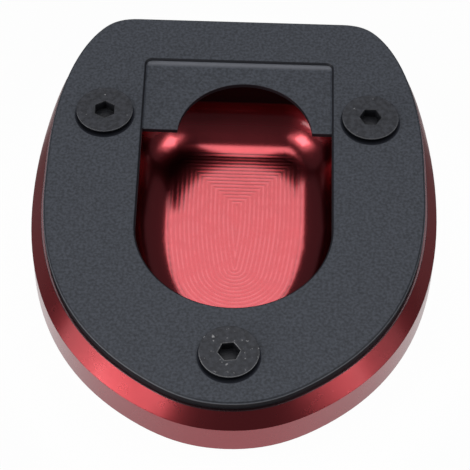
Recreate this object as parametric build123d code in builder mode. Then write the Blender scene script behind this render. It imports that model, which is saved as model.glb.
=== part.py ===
"""Kickstand foot enlarger: a milled plate that spreads a motorbike's side stand on soft ground.

Millimetres, Z up. The ground is Z = 0, the round nose points to -Y and the straight back to +Y.
"""
import os

from build123d import *

# Base outline at the straight wall. Steps are taken in from the widest place, runs from the nose or
# back, and slants are how far the outline's normal turns away from X there, in degrees.
base_length = 104.0
base_width = 84.6
widest_y = 3.2
flank_step = 24.4
flank_run = 5.2
flank_slant = 57.0
hip_step = 1.7
hip_run = 28.6
corner_step = 10.8
corner_run = 3.7
corner_slant = 45.0
back_step = 19.9

# Base height and the bevel around its top: plan widths at the nose, flanks, sides and rear
base_height = 15.0
bevel_height = 3.0
nose_bevel = 2.6
flank_bevel = 3.0
side_bevel = 2.2
rear_bevel = 1.3

# Bevel around the ground face, equally wide all around
foot_bevel_height = 5.0
foot_bevel = 4.5

# Cover plate on the base, with the ledge of bare base left around it
plate_thickness = 2.0
plate_ledge = 0.5
plate_edge_chamfer = 0.4

# Opening in the cover plate: a U from the front, then a thinned lip up to the back rim
opening_width = 40.4
front_rim = 25.7
back_rim = 13.65
opening_chamfer = 0.4
lip_length = 18.85
lip_thickness = 1.05
recess_corner_radius = 1.3
recess_cove = 0.45

# Half-moon notch in the lip, set off the centre line for the stand's leg
notch_x = 1.65
notch_radius = 14.4
notch_depth = 13.2

# Pocket in the base for the stand's foot: its reaches under the plate's rim at the front and sides
# and past the notch, where its straight sides go over into its oval front, and its floor and rounds
pocket_front_reach = 4.3
pocket_side_reach = 2.9
pocket_back_reach = 0.7
pocket_bend_y = 4.0
pocket_floor = 1.8
pocket_floor_radius = 9.6
pocket_corner_radius = 13.6

# Countersunk hexagon socket screws, M6 x 12
screw_radius = 3.0
screw_length = 12.0
head_radius = 6.0
head_rim = 0.3
screw_tip_chamfer = 0.6
socket_across_flats = 4.0
socket_depth = 2.3
hole_clearance = 0.3
seat_land = 0.1
thread_clearance = 0.05
thread_lead = 0.4
nose_screw_inset = 14.4
rear_screw_inset = 29.2
rear_screw_offset = 8.1
nose_socket_turn = 8.0
left_socket_turn = 30.0
right_socket_turn = 0.0

# Positions worked out from the sizes above
bevels = [nose_bevel, flank_bevel, side_bevel, rear_bevel]
nose_y = -base_length / 2
back_y = base_length / 2
plate_top = base_height + plate_thickness
opening_half_width = opening_width / 2
opening_front_y = nose_y + front_rim
opening_arc_y = opening_front_y + opening_half_width
recess_back_y = back_y - back_rim
shoulder_y = recess_back_y - lip_length
notch_back_y = shoulder_y + notch_depth
pocket_half_width = opening_half_width + pocket_side_reach
pocket_front_y = opening_front_y - pocket_front_reach
pocket_back_y = notch_back_y + pocket_back_reach
thread_radius = screw_radius + thread_clearance
hole_radius = screw_radius + hole_clearance
seat_radius = hole_radius + plate_thickness - seat_land
head_top = plate_top + head_radius - seat_radius + head_rim
rear_screw_x = opening_half_width + rear_screw_offset
screw_places = [
    (0, nose_y + nose_screw_inset, nose_socket_turn),
    (-rear_screw_x, back_y - rear_screw_inset, left_socket_turn),
    (rear_screw_x, back_y - rear_screw_inset, right_socket_turn),
]
screw_points = [(x, y) for x, y, turn in screw_places]


def shield(nose_inset, flank_inset, side_inset, rear_inset):
    """Face with the base's outline, drawn in from the straight wall by the given plan widths."""
    half = base_width / 2
    nose = Vector(0, nose_y + nose_inset)
    flank = Vector(half - flank_step, nose_y + flank_run)
    flank += Vector(-flank_inset, 0).rotate(Axis.Z, -flank_slant)
    widest = Vector(half - side_inset, widest_y)
    hip = Vector(half - hip_step - rear_inset, back_y - hip_run)
    corner = Vector(half - corner_step, back_y - corner_run)
    corner += Vector(-rear_inset, 0).rotate(Axis.Z, corner_slant)
    back_end = Vector(half - back_step, back_y - rear_inset)
    with BuildSketch() as outline:
        with BuildLine():
            Spline(nose, flank, widest, tangents=[(1, 0), (0, 1)])
            Spline(widest, hip, corner, back_end, tangents=[(0, 1), (-1, 0)])
            Line(back_end, (0, back_y - rear_inset))
            mirror(about=Plane.YZ)
        make_face()
    return outline.sketch


ground_outline = shield(foot_bevel, foot_bevel, foot_bevel, foot_bevel)
wall_outline = shield(0, 0, 0, 0)
top_outline = shield(*bevels)
plate_outline = shield(*[bevel + plate_ledge for bevel in bevels])
plate_rim_outline = shield(*[bevel + plate_ledge + plate_edge_chamfer for bevel in bevels])

# Space milled out for the foot, with one round running along all its walls and the floor
with BuildPart() as foot_pocket:
    with BuildSketch(Plane.XY.offset(pocket_floor)):
        with BuildLine():
            EllipticalCenterArc(
                (0, pocket_bend_y), pocket_half_width, pocket_bend_y - pocket_front_y, 180, arc_size=180
            )
            FilletPolyline(
                (pocket_half_width, pocket_bend_y),
                (pocket_half_width, pocket_back_y),
                (-pocket_half_width, pocket_back_y),
                (-pocket_half_width, pocket_bend_y),
                radius=pocket_corner_radius,
            )
        make_face()
    extrude(amount=base_height - pocket_floor)
    fillet(foot_pocket.edges().group_by(Axis.Z)[0], radius=pocket_floor_radius)

# Red base: foot bevel, straight wall, a top bevel that narrows to the rear, pocket and tapped holes
with BuildPart() as base_plate:
    with BuildSketch():
        add(ground_outline)
    with BuildSketch(Plane.XY.offset(foot_bevel_height)):
        add(wall_outline)
    loft(ruled=True)
    with BuildSketch(Plane.XY.offset(foot_bevel_height)):
        add(wall_outline)
    extrude(amount=base_height - bevel_height - foot_bevel_height)
    with BuildSketch(Plane.XY.offset(base_height - bevel_height)):
        add(wall_outline)
    with BuildSketch(Plane.XY.offset(base_height)):
        add(top_outline)
    loft(ruled=True)
    add(foot_pocket.part, mode=Mode.SUBTRACT)
    with Locations(Plane.XY.offset(base_height)):
        with Locations(*screw_points):
            CounterSinkHole(thread_radius, thread_radius + thread_lead, counter_sink_angle=90)

# Space above the lip, with a small cove where its walls meet the lip
with BuildPart() as lip_recess:
    with BuildSketch(Plane.XY.offset(base_height + lip_thickness)):
        with BuildLine():
            CenterArc((0, opening_arc_y), opening_half_width, 180, 180)
            FilletPolyline(
                (opening_half_width, opening_arc_y),
                (opening_half_width, recess_back_y),
                (-opening_half_width, recess_back_y),
                (-opening_half_width, opening_arc_y),
                radius=recess_corner_radius,
            )
        make_face()
    extrude(amount=plate_thickness - lip_thickness)
    fillet(lip_recess.edges().group_by(Axis.Z)[0], radius=recess_cove)

# Black cover plate: ring, thinned lip at the back with its notch, and the screws' seats
with BuildPart() as cover_plate:
    with BuildSketch(Plane.XY.offset(base_height)):
        add(plate_outline)
    extrude(amount=plate_thickness - plate_edge_chamfer)
    with BuildSketch(Plane.XY.offset(plate_top - plate_edge_chamfer)):
        add(plate_outline)
    with BuildSketch(Plane.XY.offset(plate_top)):
        add(plate_rim_outline)
    loft(ruled=True)
    add(lip_recess.part, mode=Mode.SUBTRACT)
    with BuildSketch(Plane.XY.offset(base_height)):
        with Locations((0, opening_arc_y)):
            Circle(opening_half_width)
            Rectangle(opening_width, shoulder_y - opening_arc_y, align=(Align.CENTER, Align.MIN))
        with Locations((notch_x, notch_back_y - notch_radius)):
            Circle(notch_radius)
    extrude(amount=plate_thickness, mode=Mode.SUBTRACT)
    top_face = cover_plate.faces().sort_by(Axis.Z)[-1]
    chamfer(top_face.inner_wires().edges(), length=opening_chamfer)
    with Locations(Plane.XY.offset(plate_top)):
        with Locations(*screw_points):
            CounterSinkHole(hole_radius, seat_radius, counter_sink_angle=90)

# One screw, standing on Z = 0 by the top of its head
with BuildPart() as screw:
    with BuildSketch(Plane.XZ):
        with BuildLine():
            Polyline(
                (0, 0),
                (head_radius, 0),
                (head_radius, -head_rim),
                (screw_radius, -head_rim - head_radius + screw_radius),
                (screw_radius, screw_tip_chamfer - screw_length),
                (screw_radius - screw_tip_chamfer, -screw_length),
                (0, -screw_length),
                close=True,
            )
        make_face()
    revolve(axis=Axis.Z)
    with BuildSketch():
        RegularPolygon(socket_across_flats / 2, 6, major_radius=False)
    extrude(amount=-socket_depth, mode=Mode.SUBTRACT)

# The three screws, each with its socket turned as it was left when tightened
with BuildPart() as countersunk_screws:
    for x, y, turn in screw_places:
        with Locations(Location((x, y, head_top), (0, 0, turn))):
            add(screw.part)

os.makedirs("parts", exist_ok=True)
base_plate.part.label = "base_plate"
cover_plate.part.label = "cover_plate"
countersunk_screws.part.label = "countersunk_screws"
export_step(base_plate.part, "parts/base_plate.step")
export_step(cover_plate.part, "parts/cover_plate.step")
export_step(countersunk_screws.part, "parts/countersunk_screws.step")
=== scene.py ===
import math

import bpy
from mathutils import Matrix, Vector


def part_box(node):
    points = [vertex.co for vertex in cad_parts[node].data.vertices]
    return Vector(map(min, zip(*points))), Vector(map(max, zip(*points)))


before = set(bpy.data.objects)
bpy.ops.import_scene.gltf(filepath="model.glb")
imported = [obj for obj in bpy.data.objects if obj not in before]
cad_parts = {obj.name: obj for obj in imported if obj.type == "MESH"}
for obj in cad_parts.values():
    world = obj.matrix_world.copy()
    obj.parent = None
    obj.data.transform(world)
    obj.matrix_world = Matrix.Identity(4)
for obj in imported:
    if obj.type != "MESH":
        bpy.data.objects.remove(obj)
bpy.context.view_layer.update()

# Red base: one piece of aluminium, milled on all sides and then dyed red by clear anodising. It stands
# flat on the ground and carries the cover plate. The cutter left rings on the floor of its pocket, a
# short step apart, and finer lines along the walls.


class Wire:
    """One socket of a material's node tree. Sums, products and the like of wires add Math nodes."""

    def __init__(self, tree, socket):
        self.tree = tree
        self.socket = socket

    def node(self, kind, settings, inputs, output=0):
        """New node: its settings are set first, then each input gets its value or its wire."""
        made = self.tree.nodes.new(kind)
        for name, value in settings.items():
            setattr(made, name, value)
        for name, value in inputs.items():
            if isinstance(value, Wire):
                self.tree.links.new(value.socket, made.inputs[name])
            else:
                made.inputs[name].default_value = value
        return Wire(self.tree, made.outputs[output])

    def math(self, operation, first, second=0.0):
        return self.node("ShaderNodeMath", {"operation": operation}, {0: first, 1: second})

    def __add__(self, other):
        return self.math("ADD", self, other)

    def __radd__(self, other):
        return self.math("ADD", other, self)

    def __sub__(self, other):
        return self.math("SUBTRACT", self, other)

    def __rsub__(self, other):
        return self.math("SUBTRACT", other, self)

    def __mul__(self, other):
        return self.math("MULTIPLY", self, other)

    def __rmul__(self, other):
        return self.math("MULTIPLY", other, self)

    def __truediv__(self, other):
        return self.math("DIVIDE", self, other)

    def __pow__(self, other):
        return self.math("POWER", self, other)

    def lowest(self, other):
        return self.math("MINIMUM", self, other)

    def highest(self, other):
        return self.math("MAXIMUM", self, other)

    def size(self):
        return self.math("ABSOLUTE", self)

    def root(self):
        return self.math("SQRT", self)

    def cosine(self):
        return self.math("COSINE", self)

    def between(self, start, end):
        """0 where the wire is at start, 1 where it is at end, with a soft rise."""
        ends = {"Value": self, "From Min": start, "From Max": end}
        return self.node("ShaderNodeMapRange", {"interpolation_type": "SMOOTHSTEP"}, ends)

    def tint(self, low, high):
        """Colour that goes from low to high with the wire. Both are numbers or wires."""
        low, high = [end if isinstance(end, Wire) else (*end, 1) for end in (low, high)]
        return self.node("ShaderNodeMix", {"data_type": "RGBA"}, {0: self, 6: low, 7: high}, 2)

    def grain(self, scale, detail=2.0):
        """Noise of that many grains to the unit of the wire's vector, about 0 to 1."""
        inputs = {"Vector": self, "Scale": scale, "Detail": detail}
        return self.node("ShaderNodeTexNoise", {}, inputs)

    def stretched(self, x, y, z):
        """The wire's vector with each axis times its own number."""
        return self.node("ShaderNodeVectorMath", {"operation": "MULTIPLY"}, {0: self, 1: (x, y, z)})

    def axes(self):
        """The three axes of the wire's vector."""
        parts = self.node("ShaderNodeSeparateXYZ", {}, {0: self}).socket.node
        return [Wire(self.tree, part) for part in parts.outputs]


mm_per_metre = 1000


def corners_of(node):
    """Lowest and highest corner of a node of the frame, in mm."""
    return [corner * mm_per_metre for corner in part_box(node)]


def finish_on(node):
    """Empty material on a node of the frame: its shader, and the place on the surface in mm."""
    material = bpy.data.materials.new(node + "_finish")
    material.use_nodes = True
    tree = material.node_tree
    shader = tree.nodes["Principled BSDF"]
    start = Wire(tree, shader.outputs[0])
    metres = start.node("ShaderNodeTexCoord", {}, {}, "Object")
    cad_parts[node].data.materials.clear()
    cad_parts[node].data.materials.append(material)
    return shader, metres.stretched(mm_per_metre, mm_per_metre, mm_per_metre)


def feed(shader, **sockets):
    """Values and wires go into the shader's sockets, whose names have _ for the spaces."""
    for name, value in sockets.items():
        socket = shader.inputs[name.replace("_", " ")]
        if isinstance(value, Wire):
            value.tree.links.new(value.socket, socket)
        else:
            socket.default_value = value


def oval(x, y, half_width, half_length):
    """How far out a place lies: x and y over the half sizes of an oval, each squared, and added.

    It is 0 in the middle and 1 on the oval.
    """
    return x * x / half_width ** 2 + y * y / half_length ** 2


def soft_edges(place, radius, height, depth):
    """Normal that rounds the edges by a radius in metres and then follows a height times depth."""
    rounded = place.node("ShaderNodeBevel", {"samples": 6}, {"Radius": radius})
    return place.node(
        "ShaderNodeBump", {}, {"Strength": 1.0, "Distance": depth, "Height": height, "Normal": rounded}
    )


# Places and heights are in mm, and the radius of the edges and the depth of the cuts in metres. The oval
# tells the outside of the part from its opening.
oval_half_width = 42.0
oval_half_length = 52.0
base_top_z = corners_of("base_plate")[1].z
bevel_height = 3.0
bevel_z = base_top_z - bevel_height
pocket_floor_z = 1.8
rear_wall_y = 24.0
rear_wall_z = 3.8
shadow_z = 8.9
red_pale = (0.55, 0.054, 0.067)
red_deep = (0.49, 0.046, 0.06)
floor_groove_shade_red = (0.405, 0.036, 0.047)
floor_ridge_sheen_red = (0.465, 0.063, 0.076)
bevel_highlight_pale = (0.56, 0.072, 0.084)
bevel_highlight_deep = (0.5, 0.064, 0.075)
rear_wall_shade_red = (0.3, 0.022, 0.03)
outer_wall_shade_red = (0.35, 0.026, 0.039)
ledge_shade_red = (0.16, 0.08, 0.09)
shadow_red = (0.03, 0.012, 0.014)
base_edge_radius = 0.00012
cut_depth = 0.0000048
red, place = finish_on("base_plate")
x, y, z = place.axes()

# The cutter's rings. ring counts millimetres outwards from the middle of the floor: to the flanks, which
# close in on the nose along wide arcs, around a centre in the nose, and straight to the rear.
ring_pitch = 0.936
ring_middle_x = 0.4
ring_bend_y = 9.0
ring_bulge = 75.0
ring_nose_y = -6.0
ring_rear_y = 10.4
ring_nose_start = math.hypot(ring_bulge, ring_bend_y - ring_nose_y) - ring_bulge
ring_nose_slope = ring_bulge / (ring_bend_y - ring_nose_y)
aside = (x - ring_middle_x).size()
ahead = (y - ring_bend_y).lowest(0.0)
flank = ((aside + ring_bulge) ** 2.0 + ahead ** 2.0).root() - ring_bulge
nose = (aside ** 2.0 + (y - ring_nose_y) ** 2.0).root() + ring_nose_start
in_nose = ((ring_nose_y - y) * ring_nose_slope - aside).between(-0.02, 0.02)
ring = (flank + in_nose * (nose - flank)).highest(y - ring_rear_y)
rings = (ring * (2 * math.pi / ring_pitch)).cosine()

# Where each surface of the base is
outside = oval(x, y, oval_half_width, oval_half_length).between(0.55, 0.7)
inside = 1.0 - outside
above_ground = z.between(pocket_floor_z - 0.6, pocket_floor_z - 0.1)
on_floor = z.between(pocket_floor_z + 0.12, pocket_floor_z + 0.02) * above_ground
on_bevel = outside * z.between(bevel_z - 0.15, bevel_z + 0.1)
on_outer_wall = outside * z.between(bevel_z + 0.2, bevel_z - 0.2)
on_ledge = outside * z.between(base_top_z - 0.12, base_top_z - 0.03)
above_rear_foot = z.between(rear_wall_z, rear_wall_z + 1.8)
on_rear_wall = inside * above_rear_foot * y.between(rear_wall_y, rear_wall_y + 3.0)
under_plate = inside * z.between(shadow_z, shadow_z + 0.6)

# The dye is cloudy. The floor's rings are painted darker in the grooves and, in patches, paler on the
# ridges: painted shade and sheen of the cuts
mottle = place.grain(scale=0.35, detail=3.0)
fleck = place.grain(scale=2.2, detail=2.0)
patch = place.grain(scale=0.4, detail=2.0).between(0.36, 0.64)
ridge_sheen_and_mottle = rings.between(-0.3, 1.0) * (0.25 + 0.75 * patch) + (fleck - 0.5) * 0.7 + mottle * 0.3
red_tone = mottle.tint(red_pale, red_deep)
red_tone = on_floor.tint(red_tone, ridge_sheen_and_mottle.tint(floor_groove_shade_red, floor_ridge_sheen_red))
# Painted highlight: the bevel's red has more green and blue, a painted whitening of the highlights it
# shows
red_tone = on_bevel.tint(red_tone, mottle.tint(bevel_highlight_pale, bevel_highlight_deep))
# Painted shade: the pocket's rear wall, above its foot, is darker under the plate's lip
red_tone = on_rear_wall.tint(red_tone, rear_wall_shade_red)
# Painted shade: the outer wall is darker, standing for the shaded table it mirrors close to the part
red_tone = on_outer_wall.tint(red_tone, outer_wall_shade_red)
# Painted shade: the ledge beside the plate's edge is darker and greyer
red_tone = on_ledge.tint(red_tone, ledge_shade_red)
red_tone = under_plate.tint(red_tone, shadow_red)
along_walls = place.stretched(0.05, 0.05, 5.0).grain(scale=1.0, detail=3.0)
cuts = rings * on_floor + (along_walls - 0.5) * 0.6 * (1.0 - on_floor)
feed(
    red,
    Base_Color=red_tone,
    Metallic=1.0,
    Roughness=0.17 + mottle * 0.06 + outside * 0.08 + on_rear_wall * 0.15,
    Coat_Weight=1.0 - on_bevel * 0.5,
    Coat_Roughness=0.15,
    Coat_IOR=1.5,
    Normal=soft_edges(place, base_edge_radius, cuts, cut_depth),
)

# Cover plate: 2 mm aluminium plate, cut to the base's outline, bead blasted and anodised black. The
# blasting leaves fine pits all over it, which scatter the light and look like a grey speckle. It lies
# flat on the base, where the three screws hold it.
plate_low, plate_high = corners_of("cover_plate")
plate_top_z = plate_high.z
rim_chamfer = 0.4
chamfer_z = plate_top_z - rim_chamfer
lip_thickness = 1.05
lip_top_z = plate_low.z + lip_thickness
recess_back_y = 38.35
screws_low, screws_high = corners_of("countersunk_screws")
head_radius = 6.0
rear_screw_x = screws_high.x - head_radius
rear_screw_y = screws_high.y - head_radius
nose_screw_y = screws_low.y + head_radius
head_shadow_shift = 0.4
pit_black = (0.03, 0.035, 0.044)
speckle_grey = (0.109, 0.121, 0.15)
cove_highlight_grey = (0.2, 0.21, 0.24)
edge_shade_black = (0.02, 0.021, 0.027)
rim_highlight_grey = (0.17, 0.18, 0.2)
head_shadow_black = (0.036, 0.039, 0.05)
plate_edge_radius = 0.00015
pit_depth = 0.000015
black, place = finish_on("cover_plate")
x, y, z = place.axes()

# Its edges: the walls are painted dark as shade, with a painted highlight along the foot of the rim's
# chamfer and in the lip's cove
outside = oval(x, y, oval_half_width, oval_half_length).between(0.8, 0.85)
inside = 1.0 - outside
above_cove = z.between(chamfer_z - 0.2, chamfer_z - 0.1)
recess_wall = inside * above_cove * z.between(plate_top_z, plate_top_z - 0.15)
rim_wall = outside * z.between(chamfer_z + 0.2, chamfer_z - 0.1)
lip_wall = z.between(lip_top_z - 0.07, lip_top_z - 0.17)
edge = rim_wall.highest(lip_wall).highest(recess_wall)
above_rim_wall = z.between(chamfer_z - 0.14, chamfer_z - 0.06)
rim_highlight_line = outside * above_rim_wall * z.between(chamfer_z + 0.16, chamfer_z + 0.06)
on_chamfer = z.between(chamfer_z + 0.12, chamfer_z + 0.2)
rim_shade = outside * on_chamfer * z.between(plate_top_z, plate_top_z - 0.06)
cove_height = z.between(lip_top_z + 0.4, lip_top_z + 0.3) * z.between(lip_top_z - 0.15, lip_top_z - 0.05)
cove = inside * y.between(recess_back_y - 1.45, recess_back_y - 0.25) * cove_height

# Painted shadow: a dark ring on the plate around each screw's head, set a little to its front, where the
# head's shadow falls
beside = x.size() - rear_screw_x
behind = y - (rear_screw_y - head_shadow_shift)
before = y - (nose_screw_y - head_shadow_shift)
near_screw = (beside * beside + behind * behind).lowest(x * x + before * before).root()
head_shadow = near_screw.between(head_radius + 0.45, head_radius + 0.25)

pits = place.grain(scale=1.7, detail=2.0)
cloud = place.grain(scale=0.5, detail=3.0)
black_tone = (pits.between(0.2, 0.8) * 0.8 + cloud * 0.2).tint(pit_black, speckle_grey)
# Painted highlight in the lip's cove
black_tone = cove.tint(black_tone, cove_highlight_grey)
black_tone = edge.highest(rim_shade * 0.6).tint(black_tone, edge_shade_black)
# Painted highlight along the foot of the rim's chamfer
black_tone = rim_highlight_line.tint(black_tone, rim_highlight_grey)
black_tone = head_shadow.tint(black_tone, head_shadow_black)
feed(
    black,
    Base_Color=black_tone,
    Metallic=head_shadow.highest(edge * 0.3),
    Roughness=0.5 + pits * 0.12,
    Normal=soft_edges(place, plate_edge_radius, pits, pit_depth),
)

# Three countersunk hexagon socket screws of blackened steel, screwed through the plate into the base.
# Their heads stand a little proud of the plate. The black is worn at the nose screw's socket, and nicked
# from handling, most of all on the nose screw. The front of each rim is painted pale, a painted
# highlight.
head_top_z = screws_high.z
skin_black = (0.029, 0.031, 0.038)
skin_grey = (0.07, 0.074, 0.088)
bare_steel_and_highlight = (0.42, 0.42, 0.43)
flank_shade_black = (0.022, 0.023, 0.029)
mouth_shade_black = (0.012, 0.0125, 0.015)
wear_and_highlight_radius = 0.0004
head_edge_radius = 0.00015
skin_depth = 0.00003
steel, place = finish_on("countersunk_screws")
x, y, z = place.axes()
rear = y.between(-1.0, 1.0)
beside = x.size() - rear * rear_screw_x
behind = y - nose_screw_y - rear * (rear_screw_y - nose_screw_y)
at_socket = (beside * beside + behind * behind).root().between(4.0, 3.0)
at_front = behind.between(1.5, -2.5)
on_top = z.between(head_top_z - 0.35, head_top_z - 0.1)
skin = place.grain(scale=1.0, detail=4.0).between(0.3, 0.7)
nick = (place.grain(scale=1.1, detail=2.0) + (1.0 - rear) * 0.07).between(0.705, 0.785)

# An edge is where a rounded normal leaves the flat one
rounded = place.node("ShaderNodeBevel", {"samples": 8}, {"Radius": wear_and_highlight_radius})
flat = place.node("ShaderNodeNewGeometry", {}, {}, "Normal")
same = place.node("ShaderNodeVectorMath", {"operation": "DOT_PRODUCT"}, {0: rounded, 1: flat}, "Value")
sharp = 1.0 - same
socket_wear = at_socket * (0.9 - rear * 0.62) * (0.3 + skin * 0.7)
# Painted highlight along the front of each head's rim
rim_highlight = at_front * (0.6 - rear * 0.3)
wear_and_highlight = (sharp.between(0.008, 0.11) * socket_wear.highest(rim_highlight)).highest(nick * 0.8)
# Painted shade: a dark band around the edge of the rear screws' sockets
mouth_shade = sharp.between(0.05, 0.12) * at_socket * rear
steel_tone = wear_and_highlight.tint(skin.tint(skin_black, skin_grey), bare_steel_and_highlight)
# Painted shade: below the top face, the heads' flanks and the sockets' insides are dark
steel_tone = on_top.tint(flank_shade_black, steel_tone)
steel_tone = mouth_shade.tint(steel_tone, mouth_shade_black)
feed(
    steel,
    Base_Color=steel_tone,
    Metallic=0.2,
    Roughness=0.42 + skin * 0.1 - nick * 0.1,
    Normal=soft_edges(place, head_edge_radius, skin - nick * 0.6, skin_depth),
)

# White table that the part stands on, a flat sheet. It looks white to the eye and keeps a soft shadow.
# In the metal it is pale around the part and grey farther out.
table_half = 4.0
sheet_white = (0.88, 0.88, 0.88)
sheet_grey = (0.27, 0.27, 0.27)
sheet_grains = 300.0
part_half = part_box("base_plate")[1]
table_mesh = bpy.data.meshes.new("table")
corners = [(a * table_half, b * table_half, 0) for a, b in ((-1, -1), (1, -1), (1, 1), (-1, 1))]
table_mesh.from_pydata(corners, [], [(0, 1, 2, 3)])
table = bpy.data.objects.new("table", table_mesh)
bpy.context.scene.collection.objects.link(table)
sheet = bpy.data.materials.new("white_table")
sheet.use_nodes = True
tree = sheet.node_tree
matt = tree.nodes["Principled BSDF"]
place = Wire(tree, matt.outputs[0]).node("ShaderNodeTexCoord", {}, {}, "Object")
x, y = place.axes()[:2]
beyond = oval(x, y, part_half.x, part_half.y).root().between(1.2, 1.4)
sheet_tone = (beyond + place.grain(sheet_grains) * 0.05).tint(sheet_white, sheet_grey)
feed(matt, Base_Color=sheet_tone, Roughness=0.9)
glow = place.node("ShaderNodeEmission", {}, {"Color": (1, 1, 1, 1), "Strength": 1.0})
rays = place.node("ShaderNodeLightPath", {}, {}).socket.node
ray_kinds = ("Is Camera Ray", "Is Glossy Ray", "Is Transmission Ray")
seen, mirrored, through_glass = [Wire(tree, rays.outputs[kind]) for kind in ray_kinds]
in_metal = mirrored.highest(through_glass) * 0.48 * (1.0 - beyond)
white = (seen * 0.98).highest(in_metal)
mixed = place.node("ShaderNodeMixShader", {}, {0: white, 1: Wire(tree, matt.outputs[0]), 2: glow})
tree.links.new(mixed.socket, tree.nodes["Material Output"].inputs["Surface"])
table_mesh.materials.append(sheet)

# Studio light in a dim room: a tall panel behind, and on the left and right a low soft box, a weaker one
# beside it, and a high one with a wide glow around it.
light_middle = Vector((0, 0, 0.01))
light_distance = 0.9
white_watts = 4
room_grey = (0.075, 0.075, 0.08)


def soft_box(name, turn, lift, width, height, level):
    """Area lamp that faces the part, turned from the back to +X and lifted from the table by degrees.

    In a mirror it looks level times as bright as white, which takes white_watts to the square metre.
    """
    lamp = bpy.data.lights.new(name, "AREA")
    lamp.shape = "RECTANGLE"
    lamp.size = width
    lamp.size_y = height
    lamp.energy = white_watts * width * height * level
    made = bpy.data.objects.new(name, lamp)
    bpy.context.scene.collection.objects.link(made)
    turn = math.radians(turn)
    lift = math.radians(lift)
    away = Vector((math.sin(turn) * math.cos(lift), math.cos(turn) * math.cos(lift), math.sin(lift)))
    made.location = light_middle + away * light_distance
    made.rotation_euler = away.to_track_quat("Z", "Y").to_euler()
    made.visible_camera = False


soft_box("panel_behind", turn=-2, lift=66, width=0.32, height=0.58, level=1.46)
soft_box("left_low", turn=-127, lift=13.5, width=0.46, height=0.23, level=3.7)
soft_box("left_side", turn=-107, lift=14, width=0.46, height=0.24, level=0.9)
soft_box("left_high", turn=-114, lift=55, width=0.32, height=0.3, level=2.7)
soft_box("left_glow", turn=-114, lift=56, width=0.62, height=0.52, level=0.5)
soft_box("right_low", turn=119, lift=13.5, width=0.24, height=0.23, level=3.0)
soft_box("right_side", turn=101, lift=13, width=0.36, height=0.22, level=0.35)
soft_box("right_high", turn=97, lift=60, width=0.32, height=0.3, level=2.3)
soft_box("right_glow", turn=97, lift=60, width=0.62, height=0.52, level=0.45)
room = bpy.data.worlds.new("room")
room.use_nodes = True
room.node_tree.nodes["Background"].inputs["Color"].default_value = (*room_grey, 1)
bpy.context.scene.world = room

# Camera at the photograph's place: in front of the nose, looking down on the plate through a long lens.
lens_mm = 158.7
sensor_mm = 36.0
elevation = math.radians(53.715)
yaw = math.radians(0.702)
roll = math.radians(-1.144)
target = Vector((0.00036, -0.00856, 0.017))
distance = 0.42325
back = Vector(
    (math.sin(yaw) * math.cos(elevation), -math.cos(yaw) * math.cos(elevation), math.sin(elevation))
)
right = Vector((math.cos(yaw), math.sin(yaw), 0))
up = back.cross(right)
level_right = right * math.cos(roll) - up * math.sin(roll)
level_up = right * math.sin(roll) + up * math.cos(roll)
view = bpy.data.cameras.new("camera")
view.lens = lens_mm
view.sensor_width = sensor_mm
view.clip_start = 0.01
camera = bpy.data.objects.new("camera", view)
bpy.context.scene.collection.objects.link(camera)
camera.matrix_world = Matrix.Translation(target + back * distance) @ Matrix(
    (level_right, level_up, back)
).transposed().to_4x4()
bpy.context.scene.camera = camera
bpy.context.scene.view_settings.view_transform = "Standard"
